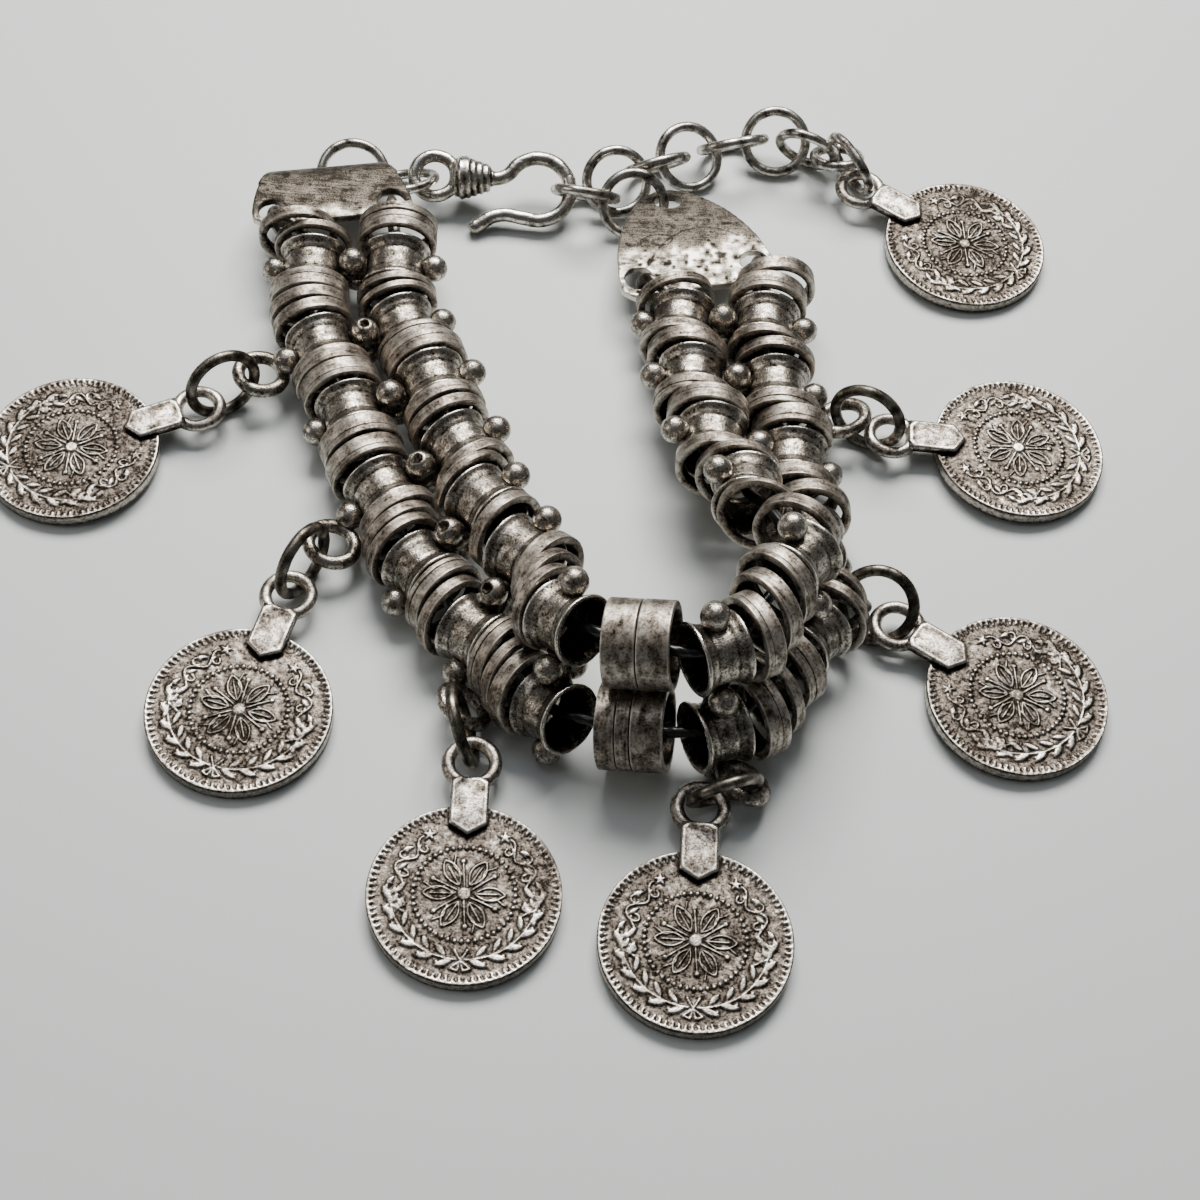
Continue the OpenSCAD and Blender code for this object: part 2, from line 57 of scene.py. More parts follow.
# Studio. A matt white laminate table with three soft lights: a window close behind the bracelet, a
# broad ceiling light over it and a weak fill far to the left. The room on the viewer's side stays
# darker, which gives the worn metal its black reflections. Lengths in this section are metres.
TABLE_REACH = 3.0
# Name, place, the point it is aimed at, width and height, watts, colour.
LIGHTS = [
    ("window", (0.0, 0.3, 0.36), (0, 0.12, 0), (0.32, 0.2), 4.3, "#fffdf8"),
    ("ceiling", (-0.1, 0.4, 1.5), (0, 0.1, 0), (1.5, 1.0), 4.4, "#f4f8ff"),
    ("left_fill", (-0.9, -0.1, 0.45), (0, 0, 0), (0.4, 0.4), 1.2, "#fff6ea"),
]
ROOM_COLOUR = "#c9cbcc"
ROOM_STRENGTH = 0.16


def linear(colour):
    """An sRGB hex colour as linear red, green, blue and full alpha."""
    parts = [int(colour[i:i + 2], 16) / 255 for i in (1, 3, 5)]
    return tuple(p / 12.92 if p <= 0.04045 else ((p + 0.055) / 1.055) ** 2.4 for p in parts) + (1.0,)


def given(node, inputs):
    """A node with its inputs set to values or linked to other nodes' outputs."""
    for key, value in inputs.items():
        if isinstance(value, bpy.types.NodeSocket):
            node.id_data.links.new(value, node.inputs[key])
        else:
            node.inputs[key].default_value = value
    return node


def new_material(name):
    material = bpy.data.materials.new(name)
    material.use_nodes = True
    return material, material.node_tree, material.node_tree.nodes["Principled BSDF"]


def in_scene(name, data):
    thing = bpy.data.objects.new(name, data)
    bpy.context.scene.collection.objects.link(thing)
    return thing


# Matt white laminate: an even, cool grey-white with a faint sheen.
laminate, _, shader = new_material("matt_white_laminate")
given(shader, {"Base Color": linear("#d1d6d5"), "Roughness": 0.42, "Specular IOR Level": 0.35})
table_mesh = bpy.data.meshes.new("table")
table_corners = [(x * TABLE_REACH, y * TABLE_REACH, 0) for x, y in ((-1, -1), (1, -1), (1, 1), (-1, 1))]
table_mesh.from_pydata(table_corners, [], [(0, 1, 2, 3)])
table_mesh.materials.append(laminate)
table = in_scene("table", table_mesh)

for name, place, target, extent, watts, colour in LIGHTS:
    lamp = bpy.data.lights.new(name, "AREA")
    lamp.shape = "RECTANGLE"
    lamp.size, lamp.size_y = extent
    lamp.energy = watts
    lamp.color = linear(colour)[:3]
    holder = in_scene(name, lamp)
    holder.location = place
    holder.rotation_euler = (Vector(target) - Vector(place)).to_track_quat("-Z", "Y").to_euler()
world = bpy.data.worlds.new("room")
bpy.context.scene.world = world
world.use_nodes = True
given(world.node_tree.nodes["Background"], {"Color": linear(ROOM_COLOUR), "Strength": ROOM_STRENGTH})

# Camera. Its place, turn and lens are fitted to the coins' round faces and to the band's balls, so
# it looks down from the near side with a slight roll. From here on, lengths in tables are
# millimetres in the axes of the part's own layout; MIDDLE moves them to the part's origin.
MM = 0.001
MIDDLE = np.array([6.5, -10.2, 0.0])
CAMERA_PLACE = np.array([0.0, -134.2, 194.3])
CAMERA_RIGHT = Vector((0.9961, 0.073, 0.0504))
CAMERA_UP = Vector((-0.0888, 0.8196, 0.566))
SENSOR_WIDTH = 36
FOCAL_PIXELS = 2350
IMAGE_PIXELS = 1200
NEAREST_SEEN = 0.01

lens = bpy.data.cameras.new("camera")
lens.sensor_width = SENSOR_WIDTH
lens.lens = SENSOR_WIDTH * FOCAL_PIXELS / IMAGE_PIXELS
lens.clip_start = NEAREST_SEEN
camera = in_scene("camera", lens)
right = CAMERA_RIGHT.normalized()
up = (CAMERA_UP - right * CAMERA_UP.dot(right)).normalized()
camera_turn = Matrix((right, up, right.cross(up))).transposed().to_4x4()
camera.matrix_world = Matrix.Translation((CAMERA_PLACE + MIDDLE) * MM) @ camera_turn
bpy.context.scene.camera = camera

# Cords. Each strand is strung on one cord of waxed cotton, looped round the end loops where it
# isn't seen; it shows in the open mouths of the front spools. It is the CAD cord, its corners
# made round.
PLY_PITCH = 0.6
CORD_ROUNDINGS = 2


def add(tree, kind, inputs=None, **settings):
    """A new node with its settings, and its inputs set or linked."""
    node = tree.nodes.new(kind)
    for key, value in settings.items():
        setattr(node, key, value)
    return given(node, inputs or {})


def joined(node):
    """A copy of a CAD node's mesh with its loose triangles joined."""
    bm = bmesh.new()
    bm.from_mesh(frame["nodes"][node].data)
    bmesh.ops.remove_doubles(bm, verts=bm.verts, dist=1e-6)
    bm.verts.index_update()
    return bm


def joined_draft(node):
    bm = joined(node)
    mesh = bpy.data.meshes.new(node + "_draft")
    bm.to_mesh(mesh)
    bm.free()
    return in_scene(node + "_draft", mesh)


def baked(draft, name):
    """The draft with its modifiers applied, as a plain smooth piece under a new name."""
    bpy.context.view_layer.update()
    seen = draft.evaluated_get(bpy.context.evaluated_depsgraph_get())
    mesh = bpy.data.meshes.new_from_object(seen)
    mesh.name = name
    mesh.polygons.foreach_set("use_smooth", [True] * len(mesh.polygons))
    piece = in_scene(name, mesh)
    bpy.data.objects.remove(draft)
    return piece


def keep(piece, slot, *nodes):
    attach(piece, "root")
    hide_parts(*nodes)


# Black waxed cotton: nearly black, its twist softened by the gloss of the wax. A wave texture
# repeats every pi / 10 of its scaled coordinate.
cotton, tree, shader = new_material("black_waxed_cotton")
twist = add(tree, "ShaderNodeTexWave", {
    "Vector": add(tree, "ShaderNodeTexCoord").outputs["Object"],
    "Scale": math.pi / 10 / (PLY_PITCH * MM), "Distortion": 0.6, "Detail": 1.0,
}, bands_direction="DIAGONAL").outputs["Fac"]
plies = add(tree, "ShaderNodeValToRGB", {"Fac": twist})
plies.color_ramp.elements[0].color = linear("#0e0d0c")
plies.color_ramp.elements[1].color = linear("#1a1917")
bump = add(tree, "ShaderNodeBump", {"Height": twist, "Strength": 0.6, "Distance": 0.05 * MM})
given(shader, {"Base Color": plies.outputs["Color"], "Roughness": 0.3, "Specular IOR Level": 0.6,
               "Normal": bump.outputs["Normal"]})
for side in ("outer", "inner"):
    draft = joined_draft("thread_" + side)
    draft.data.materials.append(cotton)
    rounding = draft.modifiers.new("rounding", "SUBSURF")
    rounding.levels = rounding.render_levels = CORD_ROUNDINGS
    keep(baked(draft, "waxed_cord_" + side), "cord", "thread_" + side)

# Spacers. Each is two spools of sheet silver, drawn in at the waist, joined by a short saddle and
# crowned with four cast balls, all soldered. The even ones carry a soldered wire loop for a coin.
SPOOL_HALF = 2.4
WAIST_R = 3.0
MOUTH_R = 3.6
SPOOL_WALL = 0.5
STRAND_PITCH = 9.0
RING_R = 4.25
BALL_R = 1.45
# From a strand's axis to its outer ball, and from the saddle's middle to its two valley balls.
BALL_REACH = 4.1
VALLEY_RISE = 1.6
# Spacers whose upper valley ball still shows its casting hole.
DIMPLED = (2, 4, 5, 6)
LOOP_WIRE = 1.4
# How far inside an outer ball's middle its boss of solder starts and ends.
BOSS_FROM = 1.6
BOSS_TO = 1.05
# A loop whose wire doesn't sink this far into its ball is bridged to it.
LOOP_BITE = 0.4
# Clearance under a spacer.
REST_GAP = 0.05
SPACER_SEED = 100
# A pole's radius, so small that its points are merged into one.
POLE = 1e-4
# x and y of the outer strand's axis, heading, roll, pitch.
SPACERS = [
    (-34, 36.8, -86, 5, -10), (-31.2, 25.5, -65, 0, 0), (-27, 17, -68, 14, 0),
    (-22.5, 7.5, -56, 14, 0), (-17.5, -1.5, -47, 24, 10), (-11.5, -8.5, -38, 32, 12),
    (-3.5, -16.5, -40, 60, 22), (12, -17.5, 28, 68, -5), (20.5, -6, 58, 68, -10),
    (20.5, 6, 92, 40, -18), (18.5, 16, 90, 18, 0), (16.5, 25.5, 92, 6, 0), (15, 33.2, 88, -6, 0),
]
# Spacer number, then x, y, z, heading, roll, pitch and mean radius of its coin loop.
COIN_LOOPS = {
    2: (-37.5, 22.6, 3.2, 35, 2, -9, 2.35), 4: (-27.2, 1.9, 2.8, 67, 10, -9, 2.35),
    6: (-12.1, -15.4, 2.3, 97, 32, -20, 2.35), 8: (15, -21.2, 2.5, 112, 30, -13, 2.2),
    10: (24.1, 0.9, 2.8, -22, -59, 4, 2.35), 12: (23.8, 24.1, 2.7, 3, -13, 16, 2.35),
}
# Along, radius and wear of a spool from its waist out to the lip, then back inside.
SPOOL_PROFILE = [
    (0, WAIST_R, 0.5), (0.45, WAIST_R + 0.01, 0.56), (0.8, WAIST_R + 0.03, 0.6),
    (0.98, WAIST_R, 0.35), (1.1, WAIST_R + 0.02, 0.3), (1.25, WAIST_R + 0.12, 0.6),
    (1.5, WAIST_R + 0.2, 0.55), (1.72, WAIST_R + 0.27, 0.4), (1.9, MOUTH_R - 0.2, 0.5),
    (2.03, MOUTH_R - 0.08, 0.72), (2.12, MOUTH_R - 0.02, 0.84), (2.22, MOUTH_R, 0.95),
    (SPOOL_HALF - 0.06, MOUTH_R - 0.02, 1.0), (SPOOL_HALF, MOUTH_R - 0.1, 0.95),
    (SPOOL_HALF, MOUTH_R - SPOOL_WALL + 0.08, 0.6), (SPOOL_HALF - 0.08, MOUTH_R - SPOOL_WALL, 0.3),
    (SPOOL_HALF - 0.3, MOUTH_R - SPOOL_WALL - 0.12, 0.1), (1.75, MOUTH_R - SPOOL_WALL - 0.4, 0.0),
    (1.3, WAIST_R - SPOOL_WALL + 0.12, 0.0), (0.8, WAIST_R - SPOOL_WALL, 0.0),
]
# The saddle from one waist across to the other.
SADDLE_PROFILE = [(0, POLE, 0.1), (0, 1.5, 0.1), (0.43, 1.28, 0.2), (0.86, 1.2, 0.3), (2.15, 1.2, 0.3),
                  (2.58, 1.28, 0.2), (3.01, 1.5, 0.1), (3.01, POLE, 0.1)]
# File and scour lines are about 0.05 mm apart; they are drawn this far apart so that they show.
LINE_PITCH = 0.22
# How much slower those lines change round a turned piece than along it.
LINE_STRETCH = 0.1


def placed(x, y, z, heading, roll, pitch):
    """Turn and origin, in metres, of a piece at a place and angles of the layout."""
    angles = math.radians(roll), math.radians(-pitch), math.radians(heading)
    return np.array(Euler(angles, "XYZ").to_matrix()), (np.array([x, y, z]) + MIDDLE) * MM


def axis_height(roll, pitch):
    """Height at which a rolled spacer rests on a ball or on the rings next to it."""
    lift = math.sin(math.radians(roll)) * math.cos(math.radians(pitch))
    return REST_GAP + max(RING_R, BALL_REACH * lift + BALL_R, RING_R - STRAND_PITCH * lift)


def aged_silver(name, deep, mid, worn, patch, pit, shine, dull, pit_depth, streak=0.0, cloudy=0.34):
    """Worn silver: dark sulphide in the hollows and bright metal where it is rubbed.

    Deep, mid and worn are its colours from hollow to high place. Patch and pit are the sizes of
    its clouds and pits in millimetres, shine and dull the roughness of bright and of dark metal,
    and streak and cloudy how much its file lines and clouds change the wear.
    """
    material, tree, shader = new_material(name)
    place = add(tree, "ShaderNodeTexCoord").outputs["Object"]
    wear = add(tree, "ShaderNodeAttribute", attribute_name="wear").outputs["Fac"]
    lay = add(tree, "ShaderNodeAttribute", attribute_name="lay").outputs["Vector"]
    patches = add(tree, "ShaderNodeTexNoise", {
        "Vector": place, "Scale": 1 / (patch * MM), "Detail": 5.0, "Roughness": 0.62}).outputs["Fac"]
    pits = add(tree, "ShaderNodeTexNoise", {
        "Vector": place, "Scale": 1 / (pit * MM), "Detail": 3.0, "Roughness": 0.6}).outputs["Fac"]
    lines = add(tree, "ShaderNodeTexNoise", {
        "Vector": lay, "Scale": 1 / (LINE_PITCH * MM), "Detail": 2.0}).outputs["Fac"]
    share = wear
    # Noise, the ends of its range, and what each end adds to the wear.
    for noise, low, high, at_low, at_high in ((patches, 0.3, 0.7, -cloudy, cloudy),
                                              (pits, 0.3, 0.55, -0.3, 0.06),
                                              (lines, 0.3, 0.7, -streak, streak)):
        change = add(tree, "ShaderNodeMapRange", {
            "Value": noise, "From Min": low, "From Max": high, "To Min": at_low, "To Max": at_high})
        share = add(tree, "ShaderNodeMath", {0: share, 1: change.outputs["Result"]},
                    operation="ADD").outputs[0]
    share.node.use_clamp = True
    colour = add(tree, "ShaderNodeValToRGB", {"Fac": share})
    colour.color_ramp.elements[0].color = linear(deep)
    colour.color_ramp.elements[1].color = linear(worn)
    colour.color_ramp.elements[0].position = 0.08
    colour.color_ramp.elements[1].position = 0.95
    colour.color_ramp.elements.new(0.45).color = linear(mid)
    rough = add(tree, "ShaderNodeMapRange", {"Value": share, "To Min": dull, "To Max": shine})
    height = pits
    if streak:
        height = add(tree, "ShaderNodeMath", {0: pits, 1: lines, 2: 0.5},
                     operation="MULTIPLY_ADD").outputs[0]
    bump = add(tree, "ShaderNodeBump", {"Height": height, "Strength": 0.8, "Distance": pit_depth * MM})
    given(shader, {"Base Color": colour.outputs["Color"], "Roughness": rough.outputs["Result"],
                   "Normal": bump.outputs["Normal"], "Metallic": 1.0})
    return material


def mark(mesh, name, kind, key, values):
    """Store a value for each point of a mesh, for its material or its Geometry Nodes to read."""
    mesh.attributes.new(name, kind, "POINT").data.foreach_set(key, np.ravel(values))


def solid(name, points, faces, silver, wear, lay):
    """A closed piece in metres: poles joined, faces outward, its wear and lay as attributes."""
    mesh = bpy.data.meshes.new(name)
    mesh.from_pydata(points.tolist(), [], faces)
    mark(mesh, "wear", "FLOAT", "value", wear)
    mark(mesh, "lay", "FLOAT_VECTOR", "vector", lay)
    bm = bmesh.new()
    bm.from_mesh(mesh)
    bmesh.ops.remove_doubles(bm, verts=bm.verts, dist=1e-6)
    bmesh.ops.recalc_face_normals(bm, faces=bm.faces)
    bm.to_mesh(mesh)
    bm.free()
    mesh.polygons.foreach_set("use_smooth", [True] * len(mesh.polygons))
    mesh.materials.append(silver)
    return in_scene(name, mesh)


def net(rows, columns, closed):
    """Faces of a net of points whose columns, and rows if closed, run round to the first again."""
    i, j = np.meshgrid(np.arange(rows if closed else rows - 1), np.arange(columns), indexing="ij")
    i2, j2 = (i + 1) % rows, (j + 1) % columns
    corners = [i * columns + j, i2 * columns + j, i2 * columns + j2, i * columns + j2]
    return np.stack(corners, -1).reshape(-1, 4)


def turned(profile, sides, rng, dent, closed=True):
    """A shape turned about X from (along, radius, wear) points, a little out of true, as handmade."""
    x, r, wear = (column[:, None] for column in np.asarray(profile, float).T)
    angle = np.arange(sides) * 2 * math.pi / sides
    # How often each wave goes round the shape, its phase, its twist along it, and its height.
    waves = [(k, rng.uniform(0, 6.28), rng.uniform(-1.2, 1.2), rng.normal() / k ** 0.8)
             for k in range(2, 10)]
    shape = sum(high * np.cos(k * angle + phase + twist * x) for k, phase, twist, high in waves)
    radius = r * (1 + dent * shape)
    along = x + 0 * radius
    points = np.stack([along, radius * np.cos(angle), radius * np.sin(angle)], -1).reshape(-1, 3)
    wear = np.clip(wear + dent * 4 * shape, 0, 1).reshape(-1)
    lay = np.stack([along, LINE_STRETCH * r * angle, 0 * radius + rng.uniform(0, 9)], -1).reshape(-1, 3)
    return points, net(len(profile), sides, closed), wear, lay


def hoop(radius, wire, rng, wear, around=64, section=14, flat=0.0):
    """A closed wire ring in the XY plane, a little uneven, its top and bottom filed by flat."""
    u = np.arange(around) * 2 * math.pi / around
    v = np.arange(section) * 2 * math.pi / section
    swell = 1 + 0.03 * np.cos(2 * u + rng.uniform(0, 6)) + 0.02 * np.cos(5 * u + rng.uniform(0, 6))
    r = wire / 2 * swell[:, None] * (1 - flat * np.sin(v)[None, :] ** 2)
    ring = radius + r * np.cos(v)
    points = np.stack([ring * np.cos(u)[:, None], ring * np.sin(u)[:, None], r * np.sin(v)], -1)
    level = np.repeat(wear + 0.12 * np.cos(3 * u + rng.uniform(0, 6)), section)
    lay = np.stack([np.repeat(LINE_STRETCH * radius * u, section), np.tile(v, around) * wire / 2,
                    0 * level + rng.uniform(0, 9)], -1)
    return points.reshape(-1, 3), net(around, section, True), level, lay


def rod(start, end, start_r, end_r, wear):
    """A short bar of solder or sheet between two points, with its turn and its start."""
    start, end = np.asarray(start, float), np.asarray(end, float)
    length = np.linalg.norm(end - start)
    along = (end - start) / length
    side = np.cross(along, (0, 0, 1)) if abs(along[2]) < 0.9 else np.cross(along, (0, 1, 0))
    side /= np.linalg.norm(side)
    waist = min(start_r, end_r) * 0.92
    rows = [(0, POLE, wear), (0, start_r, wear), (length * 0.25, (start_r + waist) / 2, wear),
            (length * 0.5, waist, wear), (length * 0.75, (end_r + waist) / 2, wear),
            (length, end_r, wear), (length, POLE, wear)]
    part = turned(rows, sides=20, rng=np.random.default_rng(1), dent=0.004, closed=False)
    return part, np.stack([along, side, np.cross(along, side)], 1), start


class Build:
    """Gathers the parts of one soldered piece, in millimetres."""

    def __init__(self):
        self.points, self.faces, self.wear, self.lay = [], [], [], []
        self.count = 0

    def put(self, part, turn=np.eye(3), move=(0, 0, 0)):
        points, faces, wear, lay = part
        self.points.append(points @ np.asarray(turn).T + np.asarray(move))
        self.faces += [tuple(int(v) + self.count for v in face) for face in faces]
        self.wear.append(wear)
        self.lay.append(lay)
        self.count += len(points)
        return self

    def piece(self, name, silver, turn, origin):
        points = np.concatenate(self.points) * MM @ turn.T + origin
        return solid(name, points, self.faces, silver, np.concatenate(self.wear),
                     np.concatenate(self.lay) * MM)


def spool(rng):
    """Its profile runs out along the right half, back inside, and the same again on the left."""
    left = [(-x, r, wear) for x, r, wear in SPOOL_PROFILE[1:]]
    loop = SPOOL_PROFILE + [(0, WAIST_R - SPOOL_WALL, 0.0)] + left[::-1]
    return turned(loop[::-1], sides=72, rng=rng, dent=0.006)


def ball(rng, dimpled):
    """A solid ball about X; a dimpled one is sunk and black at its far pole."""
    steps, hole_from, hole_depth = 18, BALL_R * 0.93, 4.5
    rows = []
    for i in range(steps + 1):
        angle = math.pi * i / steps
        r, x = BALL_R * math.sin(angle), -BALL_R * math.cos(angle)
        if dimpled and x > hole_from:
            x = hole_from - (x - hole_from) * hole_depth
        rows.append((x, max(r, POLE), 0.0 if dimpled and i > steps - 3 else 0.66))
    return turned(rows, sides=28, rng=rng, dent=0.008, closed=False)


# Sheet silver, tumbled bright and then blackened: brown-black in the hollows, soft grey on the
# faces, and pale along the lips and on the balls, where it rubs.
spool_silver = aged_silver("blackened_sheet_silver", "#17140f", "#7a7268", "#d6cfc5", patch=0.8,
                           pit=0.2, shine=0.18, dull=0.5, pit_depth=0.05)
for k, (x, y, heading, roll, pitch) in enumerate(SPACERS, 1):
    rng = np.random.default_rng(SPACER_SEED + k)
    turn, origin = placed(x, y, axis_height(roll, pitch), heading, roll, pitch)
    build = Build()
    build.put(spool(rng)).put(spool(rng), move=(0, STRAND_PITCH, 0))
    # An outer ball on each strand, on a boss of solder.
    for sign, centre in ((-1, -BALL_REACH), (1, STRAND_PITCH + BALL_REACH)):
        outward = np.array([[0, -sign, 0], [sign, 0, 0], [0, 0, 1]], float)
        build.put(ball(rng, False), outward, (0, centre, 0))
        build.put(*rod((0, centre - sign * BOSS_FROM, 0), (0, centre - sign * BOSS_TO, 0),
                       start_r=1.25, end_r=0.95, wear=0.1))
    # A ball below and above the saddle.
    for sign in (-1, 1):
        upward = np.array([[0, 0, -sign], [0, 1, 0], [sign, 0, 0]], float)
        place = (0, STRAND_PITCH / 2, sign * VALLEY_RISE)
        build.put(ball(rng, sign > 0 and k in DIMPLED), upward, place)
    across = np.array([[0, 1, 0], [1, 0, 0], [0, 0, -1]], float)
    saddle = turned(SADDLE_PROFILE, sides=28, rng=rng, dent=0.01, closed=False)
    build.put(saddle, across, (0, WAIST_R - 0.02, 0))
    if k in COIN_LOOPS:
        *loop_pose, radius = COIN_LOOPS[k]
        loop_turn, loop_place = placed(*loop_pose)
        # The loop's turn and place in the spacer's own frame, and its point next to the outer ball.
        loop_turn = turn.T @ loop_turn
        loop_place = turn.T @ (loop_place - origin) / MM
        build.put(hoop(radius, LOOP_WIRE, rng, wear=0.5), loop_turn, loop_place)
        ball_place = np.array([0, -BALL_REACH, 0.0])
        to_ball = (loop_turn.T @ (ball_place - loop_place)) * (1, 1, 0)
        near = loop_place + loop_turn @ (to_ball / np.linalg.norm(to_ball) * radius)
        # Where the loop stands off its ball, a short bar of solder bridges the gap.
        if np.linalg.norm(near - ball_place) > BALL_R + LOOP_WIRE / 2 - LOOP_BITE:
            build.put(*rod(ball_place, near, start_r=0.62, end_r=0.62, wear=0.25))
    keep(build.piece("soldered_spacer_%d" % k, spool_silver, turn, origin), "spool", "spacer_%d" % k)

# Tube rings. Short lengths sawn from silver tube, loose on the cord between the spacers; filed
# round, so fine lines run about them, and bright where their edges knock together.
RING_WALL = 0.8
# Where along a ring of unit width each kind has a line sawn round it; 0 is a plain ring.
RING_GROOVES = (0, 0.12, -0.18, 0)
GROOVED_KINDS = (1, 2)
PLAIN_KINDS = (0, 3)
RING_KIND_SEED = 7
# Only rings this wide have a groove, and none of those that lie flat together in the front bend.
WIDE_FROM = 1.75
BEND_AT = (10.7, -20.0)
BEND_HALF = 5.5
# The CAD rings stand a hair apart; the visible ones are this much wider, so they look flush.
CLOSER = 0.08


def tube_ring(name, groove, rng):
    """One ring of unit width along X; a groove makes it look like two thin ones side by side."""
    inner = RING_R - RING_WALL
    edge = [(0.43, RING_R, 0.6), (0.46, RING_R, 0.85), (0.488, RING_R - 0.03, 1.0),
            (0.5, RING_R - 0.09, 0.85)]
    if groove:
        middle = [(groove - 0.05, RING_R, 0.62), (groove - 0.02, RING_R - 0.02, 0.5),
                  (groove - 0.012, RING_R - 0.12, 0.0), (groove + 0.012, RING_R - 0.12, 0.0),
                  (groove + 0.02, RING_R - 0.06, 0.5), (groove + 0.05, RING_R - 0.05, 0.66)]
    else:
        middle = [(-0.15, RING_R + 0.01, 0.52), (0.15, RING_R + 0.01, 0.5)]
    bore = [(0.5, inner + 0.1, 0.35), (0.45, inner, 0.15), (0.0, inner, 0.05), (-0.45, inner, 0.15),
            (-0.5, inner + 0.1, 0.35)]
    rows = [(-x, r, wear) for x, r, wear in edge[::-1]] + middle + edge + bore
    points, faces, wear, lay = turned(rows[::-1], sides=72, rng=rng, dent=0.0022)
    return solid(name, points * MM, faces, ring_silver, wear, lay * MM)


def ring_places(node):
    """Centre, axis and width of every loose ring of a CAD strand."""
    bm = joined(node)
    seen, places = set(), []
    for start in bm.verts:
        if start.index in seen:
            continue
        seen.add(start.index)
        group = [start]
        for v in group:
            for e in v.link_edges:
                w = e.other_vert(v)
                if w.index not in seen:
                    seen.add(w.index)
                    group.append(w)
        points = np.array([v.co[:] for v in group])
        centre = points.mean(0)
        _, axes = np.linalg.eigh(np.cov((points - centre).T))
        along = (points - centre) @ axes[:, 0]
        places.append((centre, axes[:, 0], along.max() - along.min()))
    bm.free()
    return places


def new_tree(name, inputs):
    """A Geometry Nodes tree with named inputs and a geometry output, and its inputs' sockets."""
    tree = bpy.data.node_groups.new(name, "GeometryNodeTree")
    for socket, kind in inputs.items():
        tree.interface.new_socket(socket, in_out="INPUT", socket_type="NodeSocket" + kind)
    tree.interface.new_socket("Geometry", in_out="OUTPUT", socket_type="NodeSocketGeometry")
    return tree, add(tree, "NodeGroupInput").outputs


def strand_tree():
    """Points with a turn, a size and a kind become tube rings."""
    tree, start = new_tree("rings_on_a_cord", {
        "Places": "Geometry", "Ring kinds": "Collection", "Metal": "Material"})
    kinds = add(tree, "GeometryNodeCollectionInfo", {
        "Collection": start["Ring kinds"], "Separate Children": True, "Reset Children": True})
    kind = add(tree, "GeometryNodeInputNamedAttribute", {"Name": "kind"}, data_type="INT")
    turn = add(tree, "GeometryNodeInputNamedAttribute", {"Name": "turn"}, data_type="FLOAT_VECTOR")
    size = add(tree, "GeometryNodeInputNamedAttribute", {"Name": "size"}, data_type="FLOAT_VECTOR")
    rotation = add(tree, "FunctionNodeEulerToRotation", {"Euler": turn.outputs["Attribute"]})
    rings = add(tree, "GeometryNodeInstanceOnPoints", {
        "Points": start["Places"], "Instance": kinds.outputs["Instances"], "Pick Instance": True,
        "Instance Index": kind.outputs["Attribute"], "Rotation": rotation.outputs["Rotation"],
        "Scale": size.outputs["Attribute"]})
    real = add(tree, "GeometryNodeRealizeInstances", {"Geometry": rings.outputs["Instances"]})
    metalled = add(tree, "GeometryNodeSetMaterial", {
        "Geometry": real.outputs["Geometry"], "Material": start["Metal"]})
    add(tree, "NodeGroupOutput", {"Geometry": metalled.outputs["Geometry"]})
    return tree


def grown(mesh, tree, values, name):
    """What a tree with these values makes of a mesh, as a plain piece."""
    draft = in_scene(mesh.name, mesh)
    modifier = draft.modifiers.new(tree.name, "NODES")
    modifier.node_group = tree
    for item in tree.interface.items_tree:
        if item.in_out == "INPUT" and item.name in values:
            modifier[item.identifier] = values[item.name]
    return baked(draft, name)


# Filed tube: warm grey, finely lined round the ring, edges rubbed bright.
ring_silver = aged_silver("filed_tube_silver", "#1d1914", "#7b7167", "#c9c1b7", patch=1.3, pit=0.24,
                          shine=0.4, dull=0.58, pit_depth=0.03, streak=0.2)
kinds = bpy.data.collections.new("ring_kinds")
rng = np.random.default_rng(RING_KIND_SEED)
for number, groove in enumerate(RING_GROOVES):
    kind = tube_ring("ring_kind_%d" % number, groove, rng)
    bpy.context.scene.collection.objects.unlink(kind)
    kinds.objects.link(kind)
strand = strand_tree()
for side in ("outer", "inner"):
    places = ring_places("rings_" + side)
    rng = np.random.default_rng(len(places))
    turns, sizes, kind_numbers = [], [], []
    for centre, axis, width in places:
        spin = Matrix.Rotation(rng.uniform(0, 2 * math.pi), 3, "X")
        turn = Vector((1, 0, 0)).rotation_difference(Vector(axis)).to_matrix() @ spin
        turns.append(tuple(turn.to_euler("XYZ")))
        sizes.append((width / MM + CLOSER, 1, 1))
        grooved, plain = GROOVED_KINDS[rng.integers(0, 2)], PLAIN_KINDS[rng.integers(0, 2)]
        at_bend = abs(centre[0] - BEND_AT[0] * MM) < BEND_HALF * MM and centre[1] < BEND_AT[1] * MM
        kind_numbers.append(grooved if width > WIDE_FROM * MM and not at_bend else plain)
    dots = bpy.data.meshes.new("ring_dots")
    dots.from_pydata([tuple(centre) for centre, _, _ in places], [], [])
    mark(dots, "turn", "FLOAT_VECTOR", "vector", turns)
    mark(dots, "size", "FLOAT_VECTOR", "vector", sizes)
    mark(dots, "kind", "INT", "value", kind_numbers)
    keep(grown(dots, strand, {"Ring kinds": kinds, "Metal": ring_silver}, "tube_rings_" + side),
         "tube_ring", "rings_" + side)
for kind in list(kinds.objects):
    bpy.data.objects.remove(kind)
bpy.data.collections.remove(kinds)

